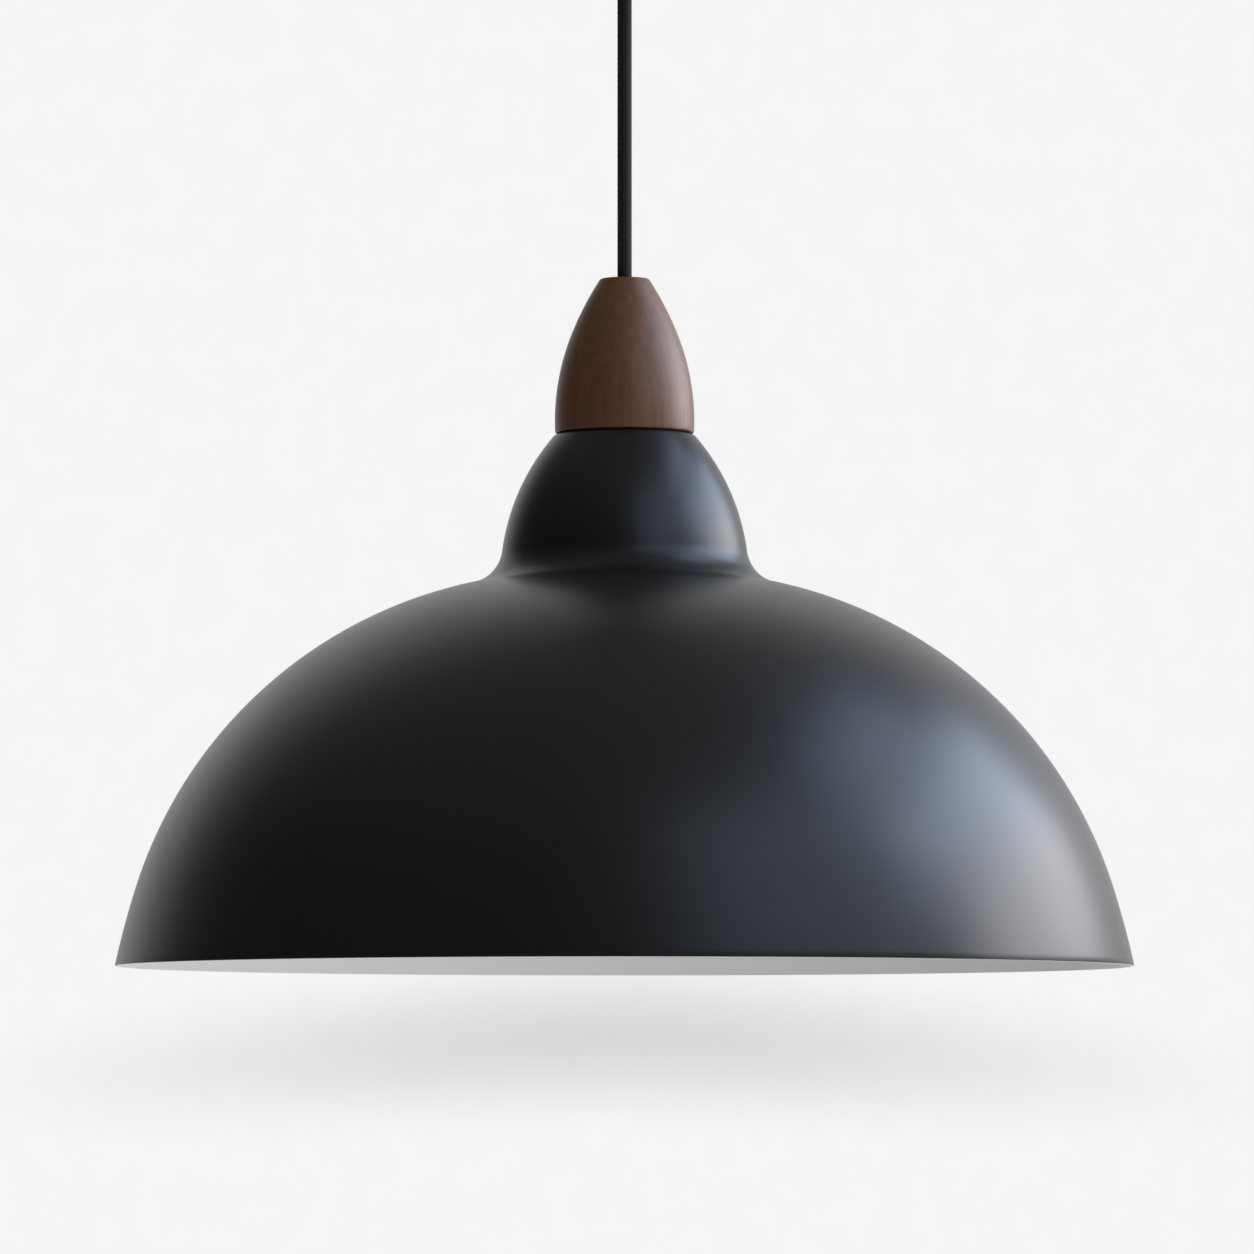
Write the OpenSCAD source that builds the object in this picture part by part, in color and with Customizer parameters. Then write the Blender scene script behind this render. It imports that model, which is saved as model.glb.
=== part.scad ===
// Pendant ceiling light: a spun steel bell shade under a turned wooden cap, hung on a textile cord
// from a round ceiling cup. Millimetres. The ceiling plane is z = 0 and the lamp hangs below it,
// on the Z axis. The ceiling bracket's two screw slots lie along X.

/* [Shade] */
// Outside diameter of the rim
shade_d = 420; // [380:5:480]
// Thickness of the spun steel sheet
wall = 1; // [0.8:0.1:1.2]
// Thickness of the white coat inside
coat = 0.2; // [0.1:0.1:0.3]
// Radius of the hollow curve where the neck runs into the dome
flare_r = 16; // [13:1:20]

/* [Wooden cap] */
// Shadow gap between the cap and the shade
cap_gap = 0.8; // [0.5:0.1:1.2]
// Radius of the turned edges at the cap's top and bottom
cap_edge_r = 0.8; // [0.4:0.1:1.2]

/* [Cord] */
// Diameter over the textile braid
cord_d = 6; // [5:0.5:6]

/* [Ceiling cup] */
// Outside diameter
cup_d = 100; // [100:5:140]
// Height below the ceiling
cup_h = 26; // [24:1:32]
// Distance between the two ceiling screws
slot_pitch = 60; // [54:1:64]

/* [Bulb] */
// Largest diameter of the glass
bulb_d = 60; // [50:1:66]
// Length from the contact to the far end of the glass
bulb_len = 105; // [100:1:112]

/* [Hidden] */

$fn = 96;

// Colours
black_coat = [0.07, 0.07, 0.075];
black_plastic = [0.05, 0.05, 0.05];
walnut = [0.27, 0.16, 0.11];
zinc = [0.72, 0.73, 0.74];
brass = [0.78, 0.62, 0.32];
porcelain = [0.93, 0.92, 0.89];
white_coat = [0.9, 0.9, 0.88];
live_brown = [0.35, 0.2, 0.12];
neutral_blue = [0.15, 0.3, 0.6];
clear_glass = [0.85, 0.9, 0.92, 0.35];

// Ceiling fitting, from the ceiling down
strap_t = 2;
strap_w = 16;
strap_x = cup_d / 2 - wall - 1.3;
tab_h = 14;
screw_z = -strap_t - 8;
cup_floor = -cup_h + wall;
gland_drop = 16;
gland_bottom = -cup_h - gland_drop;
gland_r = 9;
m10_r = 4.95;
core_r = 1.1;
set_screw_z = -cup_h - 2.5;
// The cord bends here, inside the gland's flared mouth
pivot_z = gland_bottom + 5;
stub_end = pivot_z + 7;

// The hanging cord's route, below the point where it bends
cord_route = [
    [0, 0, -3.4], [0, 0, -16], [0, 0, -31], [0, 0, -46], [0, 0, -61], [0, 0, -76], [0, 0, -91],
    [0, 0, -106], [0, 0, -121], [0, 0, -136], [0, 0, -151], [0, 0, -166], [0, 0, -173]
];
cap_top = pivot_z - 122.9;

// Shade outline: four arcs that run into each other, from the rim up. Angles are those of the
// outward normal above the horizontal.
rim_a = 12;
side_a = 17.5;
shoulder_a = 78;
neck_a = 7.5;
brow_a = 40.5;
flare_foot_r = 63.3;
dome_scale = (shade_d / 2 - flare_foot_r) / 146.7;
side_r = 357 * dome_scale;
shoulder_r = 185 * dome_scale;
neck_r = 91.5;
brow_r = 1.6;
skin = wall + coat;

// Centre of the next arc, given a point on it, its radius and the normal's angle there
function centre(p, r, a) = [p[0] - r * cos(a), p[1] - r * sin(a)];
function on(c, r, a) = [c[0] + r * cos(a), c[1] + r * sin(a)];
function arc(c, r, a0, a1, n) = [for (i = [0 : n]) on(c, r, a0 + (a1 - a0) * i / n)];

side_c = centre([shade_d / 2, 0], side_r, rim_a);
shoulder_c = centre(on(side_c, side_r, side_a), shoulder_r, side_a);
flare_c = centre(on(shoulder_c, shoulder_r, shoulder_a), -flare_r, shoulder_a);
neck_c = centre(on(flare_c, -flare_r, neck_a), neck_r, neck_a);
brow_c = centre(on(neck_c, neck_r, brow_a), brow_r, brow_a);
shade_h = brow_c[1] + brow_r;

// Heights in the lamp head, counted up from the top of the shade
cap_h = 65.3;
cap_r = 28.95;
cap_low_r = 98;
cap_high_r = 130;
cap_turn_a = 21.4;
cap_widest = cap_gap + 5.2;
shade_top = cap_top - cap_h - cap_gap;
rim_z = shade_top - shade_h;

// Lampholder and its threads
skirt_r = 19.8;
skirt_h = 37;
shade_hole_r = 20.2;
thread_depth = 0.5;
skirt_pitch = 2.5;
e27_pitch = 25.4 / 7;
shell_folds = 4;
shell_foot = -23;
shell_top = shell_foot + shell_folds * e27_pitch;
bulb_tip_z = -3.5;
shell_len = 27;
bulb_neck_r = 14.5;
bulb_flare_r = 45;
bulb_wall = 0.8;
bulb_c = bulb_tip_z - bulb_len + bulb_d / 2;
bulb_a = acos((bulb_neck_r + bulb_flare_r) / (bulb_d / 2 + bulb_flare_r));
bulb_neck_z = bulb_c + (bulb_d / 2 + bulb_flare_r) * sin(bulb_a);

// ---- shapes that repeat ----

// A body of revolution from an outline of [radius, height] points
module turned(points) {
    rotate_extrude()
        polygon(points);
}

module ring(r_out, r_in, z0, z1) {
    turned([[r_in, z0], [r_out, z0], [r_out, z1], [r_in, z1]]);
}

module disc(r, z0, z1) {
    translate([0, 0, z0])
        cylinder(r = r, h = z1 - z0);
}

// A straight round bar from p to q
module rod(p, q, r) {
    d = q - p;
    translate(p)
        rotate([0, acos(d[2] / norm(d)), atan2(d[1], d[0])])
            cylinder(r = r, h = norm(d), $fn = 24);
}

module hex_nut(across, z0, z1, bore) {
    difference() {
        translate([0, 0, z0])
            cylinder(r = across / 2 / cos(30), h = z1 - z0, $fn = 6);
        disc(bore, z0 - 1, z1 + 1);
    }
}

// A screw along +Z: shank from z0 to z1 and a slotted head on top
module slotted_screw(r, z0, z1, head_r, head_h) {
    difference() {
        union() {
            disc(r, z0, z1);
            disc(head_r, z1, z1 + head_h);
        }
        translate([-head_r - 1, -0.4, z1 + head_h * 0.5])
            cube([2 * head_r + 2, 0.8, head_h]);
    }
}

// Outline points of a ring thread that rises from z0 by whole pitches
function ridges(r, depth, pitch, z0, n) = [
    for (i = [0 : n - 1])
        for (p = [[-depth, 0], [0, 0.35], [0, 0.65]])
            [r + p[0], z0 + (i + p[1]) * pitch],
    [r - depth, z0 + n * pitch]
];

// A tube swept along a route: one ring of points square to the path at each route point
function unit(v) = v / norm(v);
function heading(path, i) =
    unit(path[min(i + 1, len(path) - 1)] - path[max(i - 1, 0)]);
function side_of(t) = unit(cross(t, abs(t[0]) < 0.9 ? [1, 0, 0] : [0, 1, 0]));
function tube_ring(c, t, r, sides) =
    let (u = side_of(t), v = cross(t, u))
    [for (k = [0 : sides - 1]) c + r * (cos(360 * k / sides) * u + sin(360 * k / sides) * v)];

module swept_tube(path, r, sides) {
    n = len(path);
    points = [for (i = [0 : n - 1]) each tube_ring(path[i], heading(path, i), r, sides)];
    start = [for (k = [0 : sides - 1]) k];
    end = [for (k = [sides - 1 : -1 : 0]) (n - 1) * sides + k];
    walls = [
        for (i = [0 : n - 2])
            for (k = [0 : sides - 1])
                [i * sides + k, (i + 1) * sides + k,
                 (i + 1) * sides + (k + 1) % sides, i * sides + (k + 1) % sides]
    ];
    polyhedron(points, concat([start, end], walls), convexity = 4);
}

function lifted(path, z) = [for (p = path) p + [0, 0, z]];

// ---- ceiling fitting ----

module screw_slot(x) {
    for (dx = [-4.5, 4.5])
        translate([x + dx, 0, -strap_t - 1])
            cylinder(r = 2.5, h = strap_t + 2);
    translate([x - 4.5, -2.5, -strap_t - 1])
        cube([9, 5, strap_t + 2]);
}

module ceiling_bracket() {
    color(zinc)
        difference() {
            union() {
                translate([-strap_x, -strap_w / 2, -strap_t])
                    cube([2 * strap_x, strap_w, strap_t]);
                translate([-6, block_y - 8, -strap_t])
                    cube([12, 10 - block_y, strap_t]);
                for (s = [-1, 1])
                    translate([s * (strap_x - strap_t / 2) - strap_t / 2, -strap_w / 2, -strap_t - tab_h])
                        cube([strap_t, strap_w, tab_h + strap_t]);
            }
            for (s = [-1, 1])
                screw_slot(s * slot_pitch / 2);
            disc(5.5, -strap_t - 1, 1);
            rotate([0, 90, 0])
                translate([-screw_z, 0, -cup_d])
                    cylinder(r = 2.03, h = 2 * cup_d, $fn = 32);
        }
}

module canopy_cup() {
    edge = 6;
    color(black_coat)
        difference() {
            turned(concat(
                [[m10_r + 0.25, -cup_h]],
                arc([cup_d / 2 - edge, -cup_h + edge], edge, -90, 0, 8),
                [[cup_d / 2, 0], [cup_d / 2 - wall, 0]],
                arc([cup_d / 2 - edge, -cup_h + edge], edge - wall, 0, -90, 8),
                [[m10_r + 0.25, cup_floor]]
            ));
            rotate([0, 90, 0])
                translate([-screw_z, 0, -cup_d])
                    cylinder(r = 2.3, h = 2 * cup_d, $fn = 32);
        }
}

module canopy_screws() {
    color(zinc)
        for (a = [0, 180])
            rotate([0, 0, a])
                translate([0, 0, screw_z])
                    rotate([0, 90, 0])
                        slotted_screw(2, strap_x - 3.5, cup_d / 2 + 0.02, 3.6, 2);
}

// Two-way terminal block under the bracket's tongue, drawn downwards from it, so that its screws
// face the room
block_y = -19;
block_h = 11;
channel_h = 4;

module under_tongue() {
    translate([0, block_y, -strap_t])
        mirror([0, 0, 1])
            children();
}

module channel(x, r, length) {
    translate([x, 0, channel_h])
        rotate([90, 0, 0])
            cylinder(r = r, h = length, center = true, $fn = 32);
}

module supply_block() {
    color(porcelain)
        under_tongue()
            difference() {
                union() {
                    for (x = [-5, 5])
                        translate([x - 4.4, -8, 0])
                            cube([8.8, 16, block_h]);
                    translate([-1.5, -4, 0])
                        cube([3, 8, 7]);
                }
                for (x = [-5, 5]) {
                    channel(x, 2.6, 20);
                    for (dy = [-4, 4])
                        translate([x, dy, channel_h])
                            cylinder(r = 2.1, h = 10, $fn = 32);
                }
            }
}

module supply_inserts() {
    color(brass)
        under_tongue()
            for (x = [-5, 5])
                difference() {
                    channel(x, 2.6, 14);
                    channel(x, 1.6, 16);
                    for (dy = [-4, 4])
                        translate([x, dy, channel_h])
                            cylinder(r = 1.5, h = 4, $fn = 32);
                }
}

module supply_screws() {
    color(zinc)
        under_tongue()
            for (x = [-5, 5])
                for (dy = [-4, 4])
                    translate([x, dy, 0])
                        slotted_screw(1.45, 5.7, 8, 1.9, 1.6);
}

// Core route from the top of the cord into the terminal block
feed_route = [
    [1.3, 0, -8.95], [1.3, 0, -8.4], [1.35, -0.5, -7.6], [1.9, -2.2, -6.2], [3.2, -5, -5.6], [4.5, -8, -5.7],
    [5, -10.6, -6], [5, -13, -6], [5, -16.5, -6]
];

module feed_live() {
    color(live_brown)
        mirror([1, 0, 0])
            swept_tube(feed_route, core_r, 8);
}

module feed_neutral() {
    color(neutral_blue)
        swept_tube(feed_route, core_r, 8);
}

module gland_body() {
    color(black_plastic)
        difference() {
            turned([
                [cord_d / 2, -cup_h + 12], [cord_d / 2, stub_end - 0.2], [cord_d / 2 + 0.3, stub_end - 0.2],
                [cord_d / 2 + 0.3, pivot_z + 3.6], [cord_d / 2 + 0.6, pivot_z + 2.5],
                [cord_d / 2 + 1.9, pivot_z - 1], [gland_r - 1.4, gland_bottom],
                [gland_r - 0.8, gland_bottom],
                [gland_r - 0.25, gland_bottom + 0.8], [gland_r, gland_bottom + 3],
                [gland_r, -cup_h - 0.8], [gland_r - 0.8, -cup_h], [m10_r, -cup_h], [m10_r, -cup_h + 12]
            ]);
            translate([0, 0, set_screw_z])
                rotate([-90, 0, 0])
                    cylinder(r = 1.53, h = gland_r + 1, $fn = 32);
        }
}

module gland_washer() {
    color(zinc)
        ring(8.5, m10_r + 0.05, cup_floor, cup_floor + 1);
}

module gland_nut() {
    color(zinc)
        hex_nut(15, cup_floor + 1, cup_floor + 5, m10_r + 0.02);
}

module gland_screw() {
    color([0.85, 0.85, 0.82])
        translate([0, 0, set_screw_z])
            rotate([-90, 0, 0])
                slotted_screw(1.5, cord_d / 2 + 0.05, gland_r - 0.6, 1.5, 1);
}

// The clamped end of the cord, up to where its cores part
module cord_stub() {
    color(black_coat)
        swept_tube([[0, 0, -9], [0, 0, -20], [0, 0, stub_end]], cord_d / 2, 12);
}

// The short length of cord that takes the twist
module cord_twist() {
    color(black_coat)
        swept_tube([[0, 0, stub_end - 0.4], [0, 0, pivot_z + 3.3]], cord_d / 2 - 0.02, 12);
}

// The short length of cord that bends
module cord_bend() {
    color(black_coat)
        translate([0, 0, pivot_z])
            sphere(r = cord_d / 2 - 0.1, $fn = 48);
}

module cord() {
    color(black_coat)
        swept_tube(lifted(cord_route, pivot_z), cord_d / 2, 12);
}

// ---- lamp head; each module is drawn from the top of the shade ----

module head() {
    translate([0, 0, shade_top])
        children();
}

cap_low_c = [cap_r - cap_low_r, cap_widest];
cap_high_c = centre(on(cap_low_c, cap_low_r, cap_turn_a), cap_high_r, cap_turn_a);
cap_foot = cap_gap;
cap_head = cap_gap + cap_h;

// The angle at which an arc comes to a given height
function angle_at(c, r, z) = asin((z - c[1]) / r);

module wood_cap() {
    foot_a = angle_at(cap_low_c, cap_low_r, cap_foot + cap_edge_r);
    head_a = angle_at(cap_high_c, cap_high_r, cap_head - cap_edge_r);
    foot_c = centre(on(cap_low_c, cap_low_r, foot_a), cap_edge_r, foot_a);
    head_c = centre(on(cap_high_c, cap_high_r, head_a), cap_edge_r, head_a);
    outside = concat(
        arc(foot_c, cap_edge_r, -90, foot_a, 5),
        arc(cap_low_c, cap_low_r, foot_a, cap_turn_a, 12),
        arc(cap_high_c, cap_high_r, cap_turn_a, head_a, 8),
        arc(head_c, cap_edge_r, head_a, 90, 5)
    );
    bore = [
        [cord_d / 2 + 0.4, cap_head + 1], [cord_d / 2 + 0.4, 52], [7, 52], [7, 42], [17, 42],
        [17, 26], [23.5, 26], [23.5, cap_foot - 1], [0, cap_foot - 1], [0, cap_head + 1]
    ];
    color(walnut)
        head()
            difference() {
                turned(concat([[0, outside[0][1]]], outside, [[0, outside[len(outside) - 1][1]]]));
                turned(bore);
            }
}

module cap_insert() {
    color(brass)
        head()
            turned([[5, 41], [9, 41], [9, 42], [7, 42], [7, 52], [5, 52]]);
}

module cap_ring() {
    color(black_plastic)
        head()
            ring(26.8, 23.8, 0, cap_gap);
}

module nipple() {
    color(zinc)
        head()
            ring(m10_r, 3.6, 27.5, 51);
}

module locknut() {
    color(zinc)
        head()
            hex_nut(14, 37, 41, m10_r + 0.03);
}

module holder_cap() {
    dome_c = [8.5, 16];
    color(black_plastic)
        head()
            turned(concat(
                [[19.3, 3.2], [21.5, 3.2]],
                arc(dome_c, 13, 0, 90, 8),
                [[7.5, 29.6], [7.5, 37], [5, 37], [5, 26.8]],
                arc(dome_c, 10.8, 90, 0, 8)
            ));
}

module grip_jaw(y0, y1, z1) {
    difference() {
        translate([-9, y0, 19])
            cube([18, y1 - y0, z1 - 19]);
        disc(cord_d / 2, 10, 30);
        for (x = [-6, 6])
            translate([x, 0, 22])
                rotate([90, 0, 0])
                    cylinder(r = 1.27, h = 30, center = true, $fn = 24);
    }
}

module grip_block() {
    color(porcelain)
        head()
            grip_jaw(-7.3, -0.3, 26.3);
}

module grip_saddle() {
    color(porcelain)
        head()
            grip_jaw(0.3, 4.3, 25);
}

module grip_screws() {
    color(zinc)
        head()
            for (x = [-6, 6])
                translate([x, 0, 22])
                    rotate([-90, 0, 0])
                        slotted_screw(1.25, -6, 4.3, 2.2, 1.4);
}

// Core route from the end of the cord's braid to a terminal of the lampholder
core_route = [
    [1.3, 0, 15.95], [1.3, 0, 15.4], [1.4, 0.4, 14.6], [3, 1.9, 13.2], [6, 3.6, 12.5], [8.2, 4.4, 11.4],
    [9, 4.5, 9.5], [9, 4.5, 7]
];

module core_live() {
    color(live_brown)
        head()
            mirror([1, 0, 0])
                swept_tube(core_route, core_r, 8);
}

module core_neutral() {
    color(neutral_blue)
        head()
            swept_tube(core_route, core_r, 8);
}

module holder_insert() {
    color(porcelain)
        head()
            difference() {
                disc(17.2, -24, 9);
                disc(14.3, -24.8, -1.4);
                disc(14.6, 4, 10);
                translate([-4, -3, -2])
                    cube([8, 6, 8]);
                translate([12.9, -2.8, -2])
                    cube([1.2, 5.6, 8]);
            }
}

// Clamp block of a terminal, with its screw hole and its wire hole
module clamp_block() {
    difference() {
        translate([5.8, -3, 4])
            cube([6.4, 10, 5]);
        translate([9, 0, 3])
            cylinder(r = 1.62, h = 8, $fn = 24);
        translate([9, 4.5, 6.5])
            cylinder(r = 1.15, h = 4, $fn = 24);
    }
}

module live_terminal() {
    color(brass)
        head()
            union() {
                mirror([1, 0, 0])
                    clamp_block();
                translate([-6, -2.5, 4])
                    cube([3, 5, 0.6]);
                translate([-3.6, -2.5, -3])
                    cube([0.6, 5, 7.6]);
                translate([-3.6, -2.5, -3.15])
                    cube([7, 5, 0.6]);
            }
}

module neutral_terminal() {
    color(brass)
        head()
            union() {
                clamp_block();
                translate([12, -2.5, 4])
                    cube([1.8, 5, 0.6]);
                translate([13.2, -2.5, shell_top])
                    cube([0.6, 5, 4.6 - shell_top]);
            }
}

module terminal_screws() {
    color(zinc)
        head()
            for (x = [-9, 9])
                translate([x, 0, 0])
                    slotted_screw(1.6, 4.8, 9, 2.7, 1.8);
}

module screw_shell() {
    inside = ridges(13.85, 0.35, e27_pitch, shell_foot, shell_folds);
    outside = [for (p = inside) p + [0.35, 0]];
    backwards = [for (i = [len(outside) - 1 : -1 : 0]) outside[i]];
    color(brass)
        head()
            turned(concat(inside, backwards));
}

module holder_body() {
    threads = floor((skirt_h - 4) / skirt_pitch);
    z0 = -skin - threads * skirt_pitch;
    color(black_plastic)
        head()
            turned(concat(
                [[16.5, -skirt_h], [18.4, -skirt_h], [skirt_r - thread_depth, -skirt_h + 1]],
                ridges(skirt_r, thread_depth, skirt_pitch, z0, threads),
                [
                    [skirt_r, -skin], [skirt_r, 0], [23, 0], [23, 2.5], [19.1, 2.5], [19.1, 12],
                    [17.4, 12], [17.4, -24], [14.8, -24], [14.8, -27], [16.5, -27]
                ]
            ));
}

// The shade's outline at a depth t below its outer face
function shade_face(t) =
    let (foot_a = asin((0 - side_c[1]) / (side_r - t)))
    concat(
        arc(side_c, side_r - t, foot_a, side_a, 6),
        arc(shoulder_c, shoulder_r - t, side_a, shoulder_a, 26),
        arc(flare_c, flare_r + t, 180 + shoulder_a, 180 + neck_a, 10),
        arc(neck_c, neck_r - t, neck_a, brow_a, 12),
        arc(brow_c, max(brow_r - t, 0.1), brow_a, 90, 4)
    );

// The sheet between two depths below the outer face
module shade_layer(t0, t1) {
    outside = shade_face(t0);
    inside = shade_face(t1);
    last = len(inside) - 1;
    translate([0, 0, rim_z])
        turned(concat(
            outside,
            [[shade_hole_r, shade_h - t0], [shade_hole_r, shade_h - t1]],
            [for (i = [last : -1 : 0]) inside[i]]
        ));
}

module shade() {
    color(black_coat)
        shade_layer(0, wall);
}

module shade_lining() {
    color(white_coat)
        shade_layer(wall, skin);
}

module shade_washer() {
    color(black_plastic)
        head()
            ring(26, shade_hole_r, -skin - 0.8, -skin);
}

module shade_ring() {
    ribs = 24;
    color(black_plastic)
        head()
            difference() {
                ring(25.5, skirt_r + 0.05, -skin - 8.8, -skin - 0.8);
                for (i = [0 : ribs - 1])
                    rotate([0, 0, 360 * i / ribs])
                        translate([26.2, 0, -skin - 9.8])
                            cylinder(r = 1.4, h = 7.5, $fn = 24);
            }
}

// ---- bulb, with an E27 screw base ----

module bulb_tip() {
    color(zinc)
        head()
            turned([
                [0, bulb_tip_z - 1.6], [4.8, bulb_tip_z - 1.6], [4.8, bulb_tip_z - 0.8],
                [4, bulb_tip_z - 0.2], [2.4, bulb_tip_z], [0, bulb_tip_z]
            ]);
}

module bulb_insulator() {
    color(black_plastic)
        head()
            turned([
                [0, bulb_tip_z - 6], [11.2, bulb_tip_z - 6], [11.2, bulb_tip_z - 5.2],
                [5.6, bulb_tip_z - 1.9], [0, bulb_tip_z - 1.9]
            ]);
}

// Potted supply for the light-emitting strips, which fills the base above the glass
module bulb_driver() {
    glass_top = bulb_tip_z - shell_len + 6;
    shoulder = bulb_tip_z - 6;
    color(porcelain)
        head()
            turned([
                [0, glass_top + 0.1], [10.6, glass_top + 0.1], [11.8, glass_top + 1.3],
                [11.8, shoulder - 1], [11, shoulder - 0.05], [0, shoulder - 0.05]
            ]);
}

module bulb_shell() {
    foot = bulb_tip_z - shell_len;
    folds = 4;
    thread_foot = foot + 4;
    outside = concat(
        [[14, foot], [13.3, foot + 2]],
        ridges(13.1, 0.8, e27_pitch, thread_foot, folds),
        [[12.3, bulb_tip_z - 6.6], [11.5, bulb_tip_z - 5.4], [11.2, bulb_tip_z - 5.2]]
    );
    inside = [
        [11.2, bulb_tip_z - 6], [12, bulb_tip_z - 6.8], [12, foot + 3.4], [13, foot + 1.9],
        [13.7, foot]
    ];
    color(zinc)
        head()
            turned(concat(outside, inside));
}

module bulb_glass() {
    c = [0, bulb_c];
    flare_c = [bulb_neck_r + bulb_flare_r, bulb_neck_z];
    foot = bulb_tip_z - shell_len;
    outside = concat(
        arc(c, bulb_d / 2, -90, bulb_a, 24),
        arc(flare_c, bulb_flare_r, 180 + bulb_a, 180, 8),
        [[12.9, foot + 0.4], [11.9, foot + 2], [11.9, foot + 6]]
    );
    inside = concat(
        [[11.1, foot + 6], [11.1, foot + 1.6], [bulb_neck_r - bulb_wall, bulb_neck_z]],
        arc(flare_c, bulb_flare_r + bulb_wall, 180, 180 + bulb_a, 8),
        arc(c, bulb_d / 2 - bulb_wall, bulb_a, -90, 24)
    );
    color(clear_glass)
        head()
            turned(concat(outside, inside));
}

stem_top = bulb_tip_z - shell_len + 5.8;
stem_waist = bulb_neck_z - 12;
lamp_low = bulb_c - 9;
lamp_high = bulb_c + 28;

module bulb_stem() {
    color(clear_glass)
        head()
            turned([
                [0, stem_top - 1], [11, stem_top - 1], [10.6, stem_top - 3], [5, bulb_neck_z - 4],
                [3, stem_waist], [1.8, stem_waist - 3], [1.8, lamp_low], [0, lamp_low - 1.6]
            ]);
}

// Wire star at each end of the light-emitting strips
module wire_star(r, z, turn) {
    for (a = [0 : 90 : 270])
        rotate([0, 0, a + turn])
            rod([1.84, 0, z], [r, 0, z], 0.35);
}

module bulb_leads() {
    color(zinc)
        head()
            union() {
                wire_star(10, lamp_low, 45);
                wire_star(5, lamp_high, 45);
            }
}

module bulb_filaments() {
    color([0.95, 0.8, 0.3])
        head()
            for (a = [45 : 90 : 315])
                rotate([0, 0, a])
                    rod([9.8, 0, lamp_low + 0.5], [5.2, 0, lamp_high - 0.5], 0.9);
}

ceiling_bracket();
canopy_cup();
canopy_screws();
supply_block();
supply_inserts();
supply_screws();
feed_live();
feed_neutral();
gland_body();
gland_washer();
gland_nut();
gland_screw();
cord_stub();
cord_twist();
cord_bend();
cord();
wood_cap();
cap_insert();
cap_ring();
nipple();
locknut();
holder_cap();
grip_block();
grip_saddle();
grip_screws();
core_live();
core_neutral();
holder_insert();
live_terminal();
neutral_terminal();
terminal_screws();
screw_shell();
holder_body();
shade();
shade_lining();
shade_washer();
shade_ring();
bulb_tip();
bulb_insulator();
bulb_driver();
bulb_shell();
bulb_glass();
bulb_stem();
bulb_leads();
bulb_filaments();
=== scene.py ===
"""Pendant ceiling light: looks, stage and camera. Metres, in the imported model's frame: the ceiling is
z = 0 and the lamp hangs below it on the Z axis."""

import math

import bpy
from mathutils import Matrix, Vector


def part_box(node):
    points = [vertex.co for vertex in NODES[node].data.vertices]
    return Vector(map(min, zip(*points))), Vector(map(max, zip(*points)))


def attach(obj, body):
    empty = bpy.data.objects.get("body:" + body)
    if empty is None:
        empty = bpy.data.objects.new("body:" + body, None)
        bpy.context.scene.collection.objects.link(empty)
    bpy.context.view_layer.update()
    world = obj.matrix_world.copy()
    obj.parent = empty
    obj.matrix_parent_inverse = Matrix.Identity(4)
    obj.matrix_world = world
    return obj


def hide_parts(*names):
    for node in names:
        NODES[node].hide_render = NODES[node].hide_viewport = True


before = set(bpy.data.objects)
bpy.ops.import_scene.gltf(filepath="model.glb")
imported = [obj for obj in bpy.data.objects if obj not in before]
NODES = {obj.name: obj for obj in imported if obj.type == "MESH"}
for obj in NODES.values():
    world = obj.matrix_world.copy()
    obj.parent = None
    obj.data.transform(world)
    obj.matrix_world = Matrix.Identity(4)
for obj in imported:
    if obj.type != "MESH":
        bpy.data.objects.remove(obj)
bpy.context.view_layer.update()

MM = 0.001


# ---- sizes shared with the CAD ----

RIM_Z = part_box("shade")[0].z
SHADE_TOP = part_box("shade")[1].z
RIM_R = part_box("shade")[1].x
WALL = RIM_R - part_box("shade_lining")[1].x
COAT = 0.2 * MM
BLACK_COAT = (0.0065, 0.0065, 0.0068)
CAP_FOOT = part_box("wood_cap")[0].z
CAP_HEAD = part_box("wood_cap")[1].z
PIVOT_Z = -37 * MM
CORD_R = 3 * MM
# The cord's route below the point where it bends, as in the CAD
CORD_DROPS = (3.4, 16, 31, 46, 61, 76, 91, 106, 121, 136, 151, 166, 173)


# ---- outlines ----


def on(centre, r, angle):
    """The point of a circle where its outward normal is at an angle above the horizontal."""
    a = math.radians(angle)
    return (centre[0] + r * math.cos(a), centre[1] + r * math.sin(a))


def centre_of(point, r, angle):
    return on(point, -r, angle)


def arc(centre, r, a0, a1, steps):
    return [on(centre, r, a0 + (a1 - a0) * i / steps) for i in range(steps + 1)]


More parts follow.
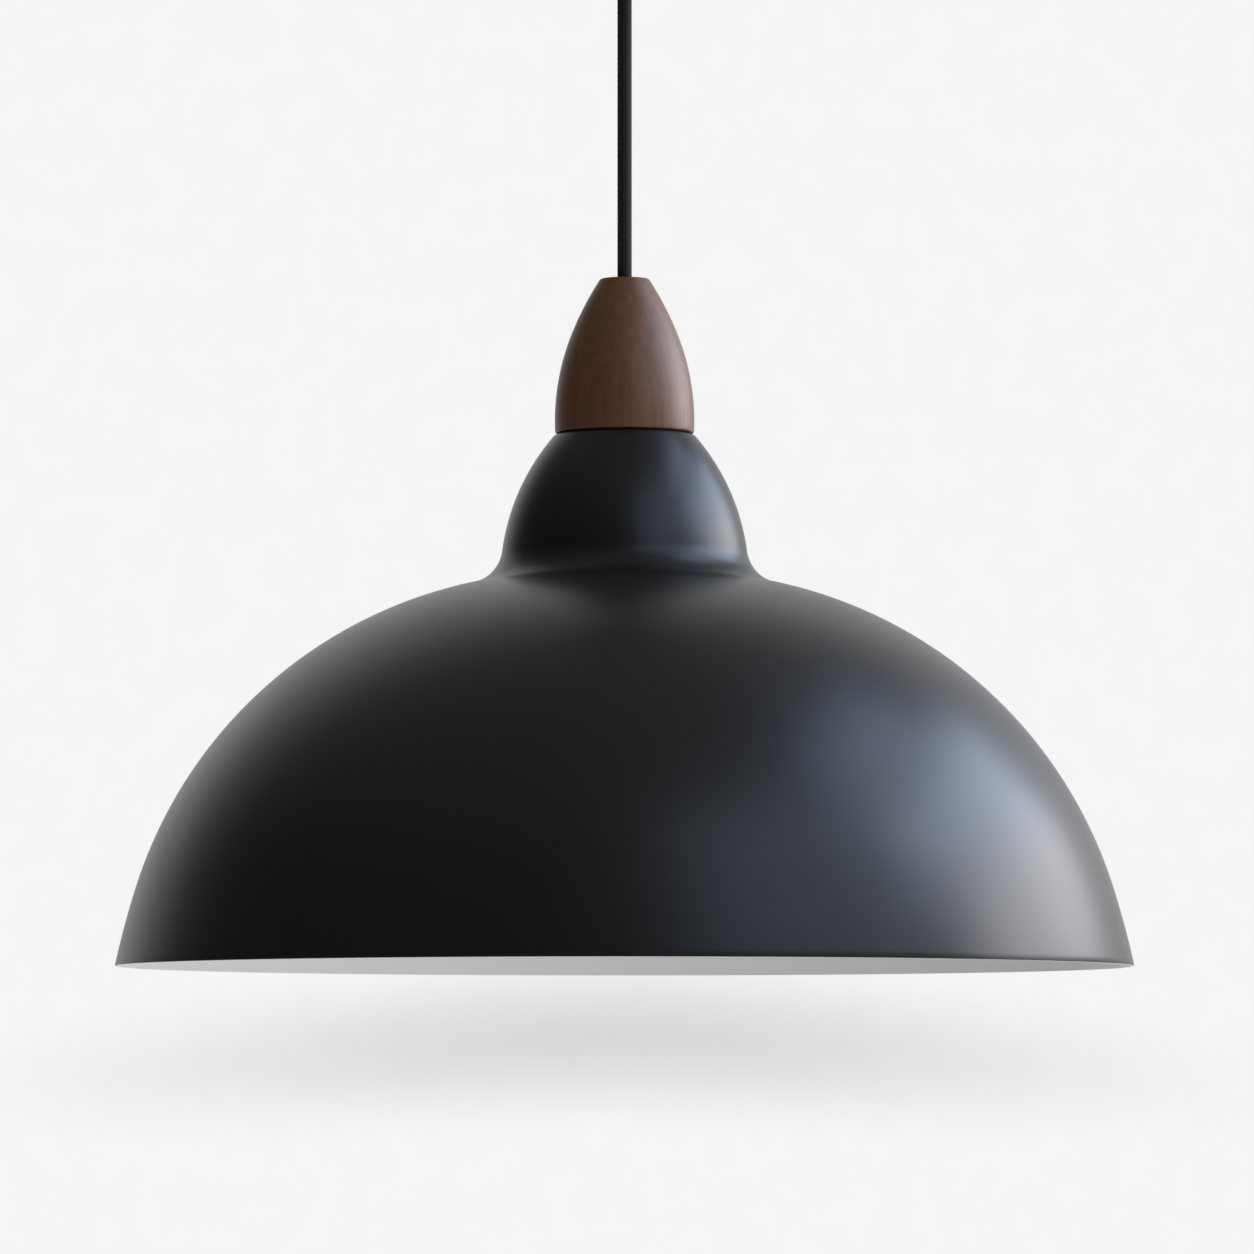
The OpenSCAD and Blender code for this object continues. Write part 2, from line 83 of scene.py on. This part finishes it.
class ShadeArcs:
    """The four arcs of the shade's outer face, from the rim up. Angles are those of the outward normal."""

    RIM, SIDE, SHOULDER, NECK, BROW = 12, 17.5, 78, 7.5, 40.5
    SIDE_R, SHOULDER_R, FLARE_R, NECK_R, BROW_R = (
        357 * MM,
        185 * MM,
        16 * MM,
        91.5 * MM,
        1.6 * MM,
    )

    def __init__(self, rim_r, rim_z):
        self.side = centre_of((rim_r, rim_z), self.SIDE_R, self.RIM)
        self.shoulder = centre_of(on(self.side, self.SIDE_R, self.SIDE), self.SHOULDER_R, self.SIDE)
        self.flare = centre_of(
            on(self.shoulder, self.SHOULDER_R, self.SHOULDER), -self.FLARE_R, self.SHOULDER
        )
        self.neck = centre_of(on(self.flare, -self.FLARE_R, self.NECK), self.NECK_R, self.NECK)
        self.brow = centre_of(on(self.neck, self.NECK_R, self.BROW), self.BROW_R, self.BROW)
        self.rim_z = rim_z

    def face(self, depth):
        """Points of the face at a depth below the outer one, from the rim up to the flat top."""
        foot = math.degrees(math.asin((self.rim_z - self.side[1]) / (self.SIDE_R - depth)))
        return (
            arc(self.side, self.SIDE_R - depth, foot, self.SIDE, 12)
            + arc(self.shoulder, self.SHOULDER_R - depth, self.SIDE, self.SHOULDER, 72)[1:]
            + arc(self.flare, -self.FLARE_R - depth, self.SHOULDER, self.NECK, 20)[1:]
            + arc(self.neck, self.NECK_R - depth, self.NECK, self.BROW, 24)[1:]
            + arc(self.brow, self.BROW_R - depth, self.BROW, 90, 6)[1:]
        )


# ---- meshes ----


def mesh_object(name, points, faces, sharp=40):
    """A smooth-shaded mesh, with the edges that turn by more than sharp degrees left crisp."""
    mesh = bpy.data.meshes.new(name)
    mesh.from_pydata(points, [], faces)
    mesh.validate()
    mesh.update()
    mesh.polygons.foreach_set("use_smooth", [True] * len(mesh.polygons))
    mesh.set_sharp_from_angle(angle=math.radians(sharp))
    piece = bpy.data.objects.new(name, mesh)
    bpy.context.scene.collection.objects.link(piece)
    return piece


def turned(name, outline, segments=256):
    """A closed ring of revolution from a closed outline of (radius, height) points."""
    points = []
    for r, z in outline:
        for k in range(segments):
            a = 2 * math.pi * k / segments
            points.append((r * math.cos(a), r * math.sin(a), z))
    faces = []
    for i in range(len(outline)):
        low, high = i * segments, (i + 1) % len(outline) * segments
        for k in range(segments):
            n = (k + 1) % segments
            faces.append((low + k, low + n, high + n, high + k))
    return mesh_object(name, points, faces)


def dressed(piece, body, material, slot, *replaced):
    """Puts a new piece on its body, with its material, in place of CAD nodes."""
    piece.data.materials.clear()
    piece.data.materials.append(material)
    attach(piece, body)
    if replaced:
        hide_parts(*replaced)
    return piece


# ---- material helpers ----


class Shader:
    """A material being built: nodes are added by type, with their inputs given by name."""

    def __init__(self, name):
        self.material = bpy.data.materials.new(name)
        self.material.use_nodes = True
        self.tree = self.material.node_tree
        self.bsdf = self.tree.nodes["Principled BSDF"]
        self.place = self.add("ShaderNodeTexCoord").outputs["Object"]

    def add(self, kind, inputs=None, **settings):
        node = self.tree.nodes.new(kind)
        for key, value in settings.items():
            setattr(node, key, value)
        for key, value in (inputs or {}).items():
            self.set(node.inputs[key], value)
        return node

    def set(self, socket, value):
        if isinstance(value, bpy.types.NodeSocket):
            self.tree.links.new(value, socket)
        else:
            socket.default_value = value

    def surface(self, **values):
        names = {
            "color": "Base Color",
            "rough": "Roughness",
            "metal": "Metallic",
            "ior": "IOR",
            "normal": "Normal",
            "coat": "Coat Weight",
            "coat_rough": "Coat Roughness",
            "sheen": "Sheen Weight",
            "sheen_rough": "Sheen Roughness",
            "clear": "Transmission Weight",
        }
        for key, value in values.items():
            self.set(self.bsdf.inputs[names[key]], value)
        return self.material

    def scaled(self, x, y, z):
        mapping = self.add("ShaderNodeMapping", {"Vector": self.place, "Scale": (x, y, z)})
        return mapping.outputs["Vector"]

    def noise(self, size, detail=3.0, rough=0.55, vector=None):
        """Noise whose features are about size metres across."""
        return self.add(
            "ShaderNodeTexNoise",
            {"Vector": vector or self.place, "Scale": 1 / size, "Detail": detail, "Roughness": rough},
        ).outputs["Fac"]

    def ramp(self, value, *stops):
        node = self.add("ShaderNodeValToRGB", {"Fac": value})
        while len(node.color_ramp.elements) < len(stops):
            node.color_ramp.elements.new(0.5)
        for element, (at, color) in zip(node.color_ramp.elements, stops):
            element.position = at
            element.color = (*color, 1)
        return node.outputs["Color"]

    def spread(self, value, low, high, start=0.3, end=0.7):
        return self.add(
            "ShaderNodeMapRange",
            {"Value": value, "From Min": start, "From Max": end, "To Min": low, "To Max": high},
        ).outputs["Result"]

    def math(self, operation, *values):
        node = self.add("ShaderNodeMath", operation=operation)
        for socket, value in zip(node.inputs, values):
            self.set(socket, value)
        return node.outputs[0]

    def bump(self, height, depth, normal=None):
        """Relief whose full range of height is depth metres."""
        inputs = {"Height": height, "Distance": depth, "Strength": 1.0}
        if normal:
            inputs["Normal"] = normal
        return self.add("ShaderNodeBump", inputs).outputs["Normal"]


# ---- materials ----


def coat_material(name, color, rough, grain=0.02, cloudy=0.12):
    """Satin powder coat: a faint orange peel and fine speckle, slightly uneven in gloss."""
    s = Shader(name)
    peel = s.noise(2.2 * MM, 2.0)
    speckle = s.noise(0.25 * MM, 2.0)
    relief = s.bump(speckle, grain * 0.25 * MM, s.bump(peel, grain * MM))
    uneven = s.noise(60 * MM, 3.0)
    lighter = tuple(min(1, c * (1 + cloudy) + 0.0006) for c in color)
    return s.surface(
        color=s.ramp(uneven, (0.3, color), (0.7, lighter)),
        rough=s.spread(uneven, rough - 0.015, rough + 0.02),
        normal=relief,
    )


def plastic_material(name, color, rough=0.5, grain=0.01):
    """Moulded plastic or rubber: a fine grain, and a slight unevenness of tone."""
    s = Shader(name)
    fine = s.noise(0.35 * MM, 3.0)
    cloud = s.noise(9 * MM, 2.0)
    lighter = tuple(min(1, c * 1.15) for c in color)
    return s.surface(
        color=s.ramp(cloud, (0.3, color), (0.7, lighter)),
        rough=s.spread(fine, rough - 0.04, rough + 0.05),
        normal=s.bump(fine, grain * MM),
    )


def metal_material(name, color, rough=0.35, stretch=(1, 1, 0.08)):
    """Plated or turned metal, with fine scratches drawn out one way and a little tarnish."""
    s = Shader(name)
    lines = s.noise(0.3 * MM, 3.0, vector=s.scaled(*stretch))
    stain = s.noise(7 * MM, 4.0)
    darker = tuple(c * 0.82 for c in color)
    return s.surface(
        color=s.ramp(stain, (0.3, darker), (0.65, color)),
        metal=1.0,
        rough=s.spread(lines, rough - 0.08, rough + 0.1),
        normal=s.bump(lines, 0.004 * MM),
    )


def ceramic_material(name, color):
    """Unglazed porcelain."""
    s = Shader(name)
    fine = s.noise(0.5 * MM, 3.0)
    cloud = s.noise(12 * MM, 2.0)
    darker = tuple(c * 0.93 for c in color)
    return s.surface(
        color=s.ramp(cloud, (0.3, darker), (0.7, color)),
        rough=s.spread(fine, 0.42, 0.55),
        normal=s.bump(fine, 0.015 * MM),
    )


def glass_material(name):
    """Thin clear bulb glass, with the faint waviness of blown glass."""
    s = Shader(name)
    wave = s.noise(9 * MM, 1.0)
    relief = s.bump(wave, 0.03 * MM)
    return s.surface(color=(1, 1, 1, 1), clear=1.0, ior=1.45, rough=0.0, normal=relief)


def walnut_material(name):
    """Dark stained walnut with the grain along the axis, under a satin oil finish."""
    s = Shader(name)
    # Growth rings of a trunk whose heart is well off to one side, so that they cross the piece as
    # long narrow stripes
    heart, ring_width, waver = (55 * MM, 85 * MM, 0), 4.2 * MM, 7 * MM
    place = s.add("ShaderNodeMapping", {"Vector": s.place, "Location": heart}).outputs["Vector"]
    wander = s.noise(38 * MM, 2.0, vector=s.scaled(1, 1, 0.10))
    xyz = s.add("ShaderNodeSeparateXYZ", {"Vector": place})
    x2 = s.math("POWER", xyz.outputs["X"], 2.0)
    y2 = s.math("POWER", xyz.outputs["Y"], 2.0)
    radius = s.math("SQRT", s.math("ADD", x2, y2))
    bent = s.math("ADD", radius, s.math("MULTIPLY", wander, waver))
    ring = s.math("FRACT", s.math("DIVIDE", bent, ring_width))
    early, middle, late = (0.25, 0.25, 0.25), (0.62, 0.62, 0.62), (0.95, 0.95, 0.95)
    rings = s.ramp(ring, (0.0, early), (0.72, middle), (0.93, late), (1.0, early))
    fibres = s.noise(0.55 * MM, 5.0, 0.65, vector=s.scaled(1, 1, 0.025))
    streaks = s.noise(3.2 * MM, 4.0, 0.6, vector=s.scaled(1, 1, 0.05))
    tone = s.math(
        "ADD",
        s.math("ADD", s.math("MULTIPLY", fibres, 0.26), s.math("MULTIPLY", streaks, 0.40)),
        s.math("ADD", s.math("MULTIPLY", wander, 0.20), s.math("MULTIPLY", rings, -0.045)),
    )
    color = s.ramp(
        tone,
        (0.26, (0.104, 0.037, 0.0125)),
        (0.36, (0.144, 0.054, 0.0195)),
        (0.47, (0.186, 0.074, 0.0280)),
        (0.58, (0.230, 0.098, 0.0390)),
    )
    pores = s.ramp(fibres, (0.30, (0, 0, 0)), (0.42, (1, 1, 1)))
    return s.surface(
        color=color,
        rough=s.spread(fibres, 0.50, 0.41),
        normal=s.bump(pores, 0.02 * MM),
        coat=0.10,
        coat_rough=0.35,
    )


def braid_material(name):
    """Black textile braid: fine yarn filaments running with the strands, and a soft sheen."""
    s = Shader(name)
    xyz = s.add("ShaderNodeSeparateXYZ", {"Vector": s.place})
    waves = 2 * math.pi / (0.19 * MM)
    turn = s.math("ARCTAN2", xyz.outputs["Y"], xyz.outputs["X"])
    along = s.math("MULTIPLY", turn, CORD_R)
    rising = s.math("ADD", along, xyz.outputs["Z"])
    falling = s.math("SUBTRACT", along, xyz.outputs["Z"])
    left = s.math("SINE", s.math("MULTIPLY", rising, waves))
    right = s.math("SINE", s.math("MULTIPLY", falling, waves))
    yarn = s.math("MULTIPLY", s.math("ADD", left, right), 0.25)
    fuzz = s.noise(0.4 * MM, 3.0)
    return s.surface(
        color=s.ramp(fuzz, (0.3, (0.0028, 0.0028, 0.0026)), (0.7, (0.0062, 0.0062, 0.0058))),
        rough=s.spread(fuzz, 0.72, 0.86),
        normal=s.bump(s.math("ADD", yarn, fuzz), 0.035 * MM),
        sheen=0.08,
        sheen_rough=0.5,
    )


# ---- pieces ----


def make_camera():
    """The eye is a little below the rim and looks slightly up, from about 3 m."""
    away, below_rim, look_up = 3.031, 0.056, 3.71
    camera = bpy.data.objects.new("camera", bpy.data.cameras.new("camera"))
    bpy.context.scene.collection.objects.link(camera)
    camera.location = (1 * MM, -away, RIM_Z - below_rim)
    camera.rotation_euler = (math.radians(90 + look_up), 0, 0)
    camera.data.sensor_width = 36
    camera.data.lens = 210.6
    camera.data.clip_start = 0.05
    camera.data.clip_end = 100
    bpy.context.scene.camera = camera


def braided_tube(name, z_low, z_high, r):
    """A straight tube with the relief of a braid: strands that cross, each over one and under one."""
    around, step = 96, 0.25 * MM
    strands, pitch, depth = 14, 2.4 * MM, 0.16 * MM
    rings = int((z_high - z_low) / step)
    points = []
    for i in range(rings + 1):
        z = z_low + (z_high - z_low) * i / rings
        for k in range(around):
            turn = 2 * math.pi * k / around
            u = strands * k / around + z / pitch
            v = strands * k / around - z / pitch
            over = (math.floor(u) + math.floor(v)) % 2 == 0
            crown = abs(math.sin(math.pi * (u if over else v)))
            out = r - depth * (1 - crown**0.6)
            points.append((out * math.cos(turn), out * math.sin(turn), z))
    faces = []
    for i in range(rings):
        low, high = i * around, (i + 1) * around
        for k in range(around):
            n = (k + 1) % around
            faces.append((low + k, low + n, high + n, high + k))
    faces.append(tuple(range(around - 1, -1, -1)))
    faces.append(tuple(rings * around + k for k in range(around)))
    return mesh_object(name, points, faces, 60)


def make_cord():
    """The hanging cord, taut from the gland to the grip inside the cap."""
    braid = braid_material("black_braid")
    route = [(0, 0, PIVOT_Z - d * MM) for d in CORD_DROPS]
    top, low = route[0][2], route[-1][2]
    tube = braided_tube("cord_braid", low, top, CORD_R)
    cord = dressed(tube, "pendant", braid, "black_textile", "cord")
    for node in ("cord_stub", "cord_twist", "cord_bend"):
        set_material(node, braid)


def make_shade(arcs):
    """Two closed skins: the black sheet, and the white coat that lines it and wraps its cut edge."""
    hole_r, edge, gap, roll = 20.2 * MM, 0.2 * MM, 0.1 * MM, 0.2 * MM
    outside, middle, inside = arcs.face(0), arcs.face(WALL), arcs.face(WALL + COAT)
    # The coat covers the cut edge and stops just short of the outer face
    black_foot, white_head = RIM_Z + gap, RIM_Z + 0.9 * gap
    edge_r = RIM_R - 0.07 * MM - edge
    black = turned(
        "shade_black",
        [(middle[0][0], black_foot)]
        + arc((edge_r, black_foot + edge), edge, -90, 0, 6)
        + [p for p in outside if p[1] > black_foot + edge]
        + [(hole_r, outside[-1][1]), (hole_r, middle[-1][1])]
        + [p for p in reversed(middle) if p[1] > black_foot],
    )
    coat = coat_material("satin_black", BLACK_COAT, 0.355)
    dressed(black, "pendant", coat, "black_coat", "shade")
    white = turned(
        "shade_white",
        arc((inside[0][0] + roll, RIM_Z + roll), roll, 180, 270, 5)
        + [(edge_r - gap, RIM_Z), (edge_r, white_head), (middle[0][0], white_head)]
        + [p for p in middle if p[1] > black_foot]
        + [(hole_r, middle[-1][1]), (hole_r, inside[-1][1])]
        + [p for p in reversed(inside) if p[1] > RIM_Z + roll],
    )
    lining = coat_material("satin_white", (0.82, 0.82, 0.81), 0.42, cloudy=0.015)
    dressed(white, "pendant", lining, "white_coat", "shade_lining")


def make_wood_cap():
    """The turned cap: two arcs that run into each other, rounded edges and the stepped hole."""
    cap_r, low_r, high_r, join_a, edge = 28.95 * MM, 98 * MM, 130 * MM, 21.4, 0.8 * MM
    widest, mouth_r = CAP_FOOT + 5.2 * MM, 23.5 * MM
    low_c = (cap_r - low_r, widest)
    high_c = centre_of(on(low_c, low_r, join_a), high_r, join_a)
    foot_a = math.degrees(math.asin((CAP_FOOT + edge - low_c[1]) / low_r))
    head_a = math.degrees(math.asin((CAP_HEAD - edge - high_c[1]) / high_r))
    foot_c = centre_of(on(low_c, low_r, foot_a), edge, foot_a)
    head_c = centre_of(on(high_c, high_r, head_a), edge, head_a)
    foot, top = foot_c[1] - edge, head_c[1] + edge
    hole_r, hole_edge = CORD_R + 0.4 * MM, 0.5 * MM
    outline = (
        [(mouth_r, foot)]
        + arc(foot_c, edge, -90, foot_a, 6)
        + arc(low_c, low_r, foot_a, join_a, 24)[1:]
        + arc(high_c, high_r, join_a, head_a, 24)[1:]
        + arc(head_c, edge, head_a, 90, 6)[1:]
        + arc((hole_r + hole_edge, top - hole_edge), hole_edge, 90, 180, 4)
    )
    # The hole's steps for the insert, the nipple and the holder's cap, counted up from the shade's top
    for r_mm, h_mm in ((3.4, 52), (7, 52), (7, 42), (17, 42), (17, 26), (23.5, 26)):
        outline.append((r_mm * MM, SHADE_TOP + h_mm * MM))
    piece = turned("cap_walnut", outline, 192)
    dressed(piece, "pendant", walnut_material("walnut_satin"), "walnut", "wood_cap")


def set_material(node, material):
    piece = NODES[node]
    piece.data.materials.clear()
    piece.data.materials.append(material)


def dress_cad_nodes():
    """Materials for the nodes whose CAD meshes are kept."""
    zinc = metal_material("zinc_plate", (0.60, 0.61, 0.62), 0.38)
    brass = metal_material("brass_turned", (0.72, 0.49, 0.20), 0.32)
    bulb_metal = metal_material("bulb_nickel", (0.70, 0.70, 0.69), 0.28, (1, 1, 6))
    black = plastic_material("black_phenolic", (0.012, 0.012, 0.0125), 0.42)
    rubber = plastic_material("black_rubber_mat", (0.010, 0.010, 0.010), 0.8, 0.02)
    pale = plastic_material("pale_nylon", (0.72, 0.71, 0.66), 0.5)
    coat = coat_material("satin_black_cup", BLACK_COAT, 0.38)
    glass = glass_material("bulb_glass_clear")
    looks = {
        coat: ("canopy_cup",),
        zinc: (
            "ceiling_bracket", "canopy_screws", "supply_screws", "gland_washer", "gland_nut",
            "nipple", "locknut", "grip_screws", "bulb_leads",
        ),
        brass: (
            "supply_inserts", "cap_insert", "live_terminal", "neutral_terminal", "terminal_screws",
            "screw_shell",
        ),
        bulb_metal: ("bulb_tip", "bulb_shell"),
        black: ("gland_body", "holder_cap", "holder_body", "shade_ring"),
        rubber: ("cap_ring", "shade_washer"),
        pale: ("supply_block", "gland_screw", "grip_block", "grip_saddle", "bulb_driver"),
        ceramic_material("porcelain_bisque", (0.82, 0.81, 0.77)): ("holder_insert",),
        plastic_material("core_brown_pvc", (0.085, 0.035, 0.016), 0.4): ("feed_live", "core_live"),
        plastic_material("core_blue_pvc", (0.02, 0.07, 0.26), 0.4): ("feed_neutral", "core_neutral"),
        plastic_material("vitrite_black", (0.012, 0.012, 0.014), 0.15): ("bulb_insulator",),
        plastic_material("phosphor_yellow", (0.72, 0.50, 0.06), 0.55): ("bulb_filaments",),
        glass: ("bulb_glass", "bulb_stem"),
    }
    for material, names in looks.items():
        for name in names:
            set_material(name, material)


# ---- stage ----

LAMP_CENTRE = Vector((0, 0, RIM_Z + 0.1))
BACKDROP = 0.913


def direction(azimuth, elevation):
    """A unit vector: azimuth in degrees from the viewer's side round toward +X, then up."""
    a, e = math.radians(azimuth), math.radians(elevation)
    return Vector((math.sin(a) * math.cos(e), -math.cos(a) * math.cos(e), math.sin(e)))


def softbox(name, azimuth, elevation, distance, size, radiance, color):
    """A flat soft light that faces the lamp, with the brightness of its face given directly."""
    data = bpy.data.lights.new(name, "AREA")
    data.shape = "RECTANGLE"
    data.size, data.size_y = size
    data.energy = radiance * math.pi * size[0] * size[1]
    data.color = color
    light = bpy.data.objects.new(name, data)
    bpy.context.scene.collection.objects.link(light)
    away = direction(azimuth, elevation)
    light.location = LAMP_CENTRE + away * distance
    light.rotation_euler = away.to_track_quat("Z", "Y").to_euler()
    light.visible_camera = False


def make_world():
    """Pale surroundings to the eye. What lights and mirrors in the lamp is dimmer: a bright field
    behind it, a pale floor below and a dim room in front and above."""
    world = bpy.data.worlds.new("studio")
    bpy.context.scene.world = world
    world.use_nodes = True
    tree = world.node_tree
    link = tree.links.new

    def node(kind, **settings):
        made = tree.nodes.new(kind)
        for key, value in settings.items():
            setattr(made, key, value)
        return made

    def math_node(operation, first, second):
        made = node("ShaderNodeMath", operation=operation)
        for socket, value in zip(made.inputs, (first, second)):
            if isinstance(value, (int, float)):
                socket.default_value = value
            else:
                link(value, socket)
        return made.outputs[0]

    def lobe(value, start, end, low, high):
        made = node("ShaderNodeMapRange", interpolation_type="SMOOTHSTEP")
        for key, number in (("From Min", start), ("From Max", end), ("To Min", low), ("To Max", high)):
            made.inputs[key].default_value = number
        link(value, made.inputs["Value"])
        return made.outputs["Result"]

    toward = node("ShaderNodeTexCoord").outputs["Generated"]
    axes = node("ShaderNodeSeparateXYZ")
    link(toward, axes.inputs[0])
    behind = node("ShaderNodeVectorMath", operation="DOT_PRODUCT")
    behind.inputs[1].default_value = (0.0, 0.98, 0.2)
    link(toward, behind.inputs[0])
    glow = lobe(behind.outputs["Value"], 0.55, 0.97, 0.0, 0.80)
    overhead = lobe(axes.outputs["Z"], 0.35, 1.0, 0.070, 0.225)
    floor = lobe(axes.outputs["Z"], 0.0, -0.3, 0.0, 1.0)
    floor = math_node("MULTIPLY", floor, lobe(axes.outputs["X"], -1.0, 1.0, 0.22, 0.98))
    total = math_node("ADD", math_node("ADD", glow, overhead), floor)
    lighting = node("ShaderNodeBackground")
    link(total, lighting.inputs["Color"])
    seen = tree.nodes["Background"]
    seen.inputs["Color"].default_value = (BACKDROP, BACKDROP, BACKDROP, 1)
    path, mix = node("ShaderNodeLightPath"), node("ShaderNodeMixShader")
    link(path.outputs["Is Camera Ray"], mix.inputs["Fac"])
    link(lighting.outputs["Background"], mix.inputs[1])
    link(seen.outputs["Background"], mix.inputs[2])
    link(mix.outputs["Shader"], tree.nodes["World Output"].inputs["Surface"])


def backdrop_material():
    """Evenly lit pale paper, with a painted soft shadow of the lamp on the wall behind it: a wide
    ellipse that hangs down a little at its ends."""
    s = Shader("backdrop_paper")
    xyz = s.add("ShaderNodeSeparateXYZ", {"Vector": s.place})
    # The painted shadow: a soft dark ellipse that dims the paper's glow below the lamp
    wide, tall, middle_x, middle_z = 0.936, 0.123, -0.018, -0.421
    across = s.math("DIVIDE", s.math("SUBTRACT", xyz.outputs["X"], middle_x), wide)
    sag = s.math("MULTIPLY", s.math("POWER", s.math("ABSOLUTE", across), 1.3), 0.075)
    rise = s.math("SUBTRACT", xyz.outputs["Z"], middle_z)
    up = s.math("DIVIDE", s.math("ADD", rise, sag), tall)
    away = s.math("SQRT", s.math("ADD", s.math("POWER", across, 2.0), s.math("POWER", up, 2.0)))
    shade = s.add(
        "ShaderNodeMapRange",
        {"Value": away, "From Min": 0.0, "From Max": 1.0, "To Min": 0.755, "To Max": 1.0},
        interpolation_type="SMOOTHSTEP",
    ).outputs["Result"]
    paper = s.spread(s.noise(0.05, 2.0), 0.905, 0.921)
    glow = s.add("ShaderNodeEmission", {"Color": s.math("MULTIPLY", paper, shade)})
    out = s.tree.nodes["Material Output"]
    s.tree.links.new(glow.outputs["Emission"], out.inputs["Surface"])
    return s.material


def make_sweep():
    """Floor and wall in one sheet, far enough away that every other view keeps clear of it."""
    floor_z, wall_y, bend, half = -5.2, 6.0, 1.5, 14.0
    profile = [(-half, floor_z)]
    profile += [(wall_y - bend + y, floor_z + bend + z) for y, z in arc((0, 0), bend, -90, 0, 16)]
    profile.append((wall_y, 9.0))
    points = [(side * half, y, z) for y, z in profile for side in (-1, 1)]
    faces = [(2 * i, 2 * i + 1, 2 * i + 3, 2 * i + 2) for i in range(len(profile) - 1)]
    sweep = mesh_object("backdrop", points, faces)
    sweep.data.materials.append(backdrop_material())
    sweep.visible_diffuse = sweep.visible_glossy = sweep.visible_shadow = False


def make_stage():
    """The paper backdrop and the light of a room with its windows to the right."""
    make_world()
    make_sweep()
    softbox("side_softbox", 108, 14, 1.6, (1.35, 0.52), 6.1, (0.95, 0.96, 1.0))
    softbox("side_window", 102, 31, 1.6, (1.56, 0.46), 5.8, (0.66, 0.79, 1.0))
    softbox("front_window", 47, 31, 1.9, (1.9, 1.2), 1.35, (0.64, 0.78, 1.0))
    softbox("high_window", 92, 50, 1.8, (1.1, 0.46), 3.0, (0.58, 0.74, 1.0))
    view = bpy.context.scene.view_settings
    view.view_transform = "Standard"


make_camera()
make_cord()
make_shade(ShadeArcs(RIM_R, RIM_Z))
make_wood_cap()
dress_cad_nodes()
make_stage()
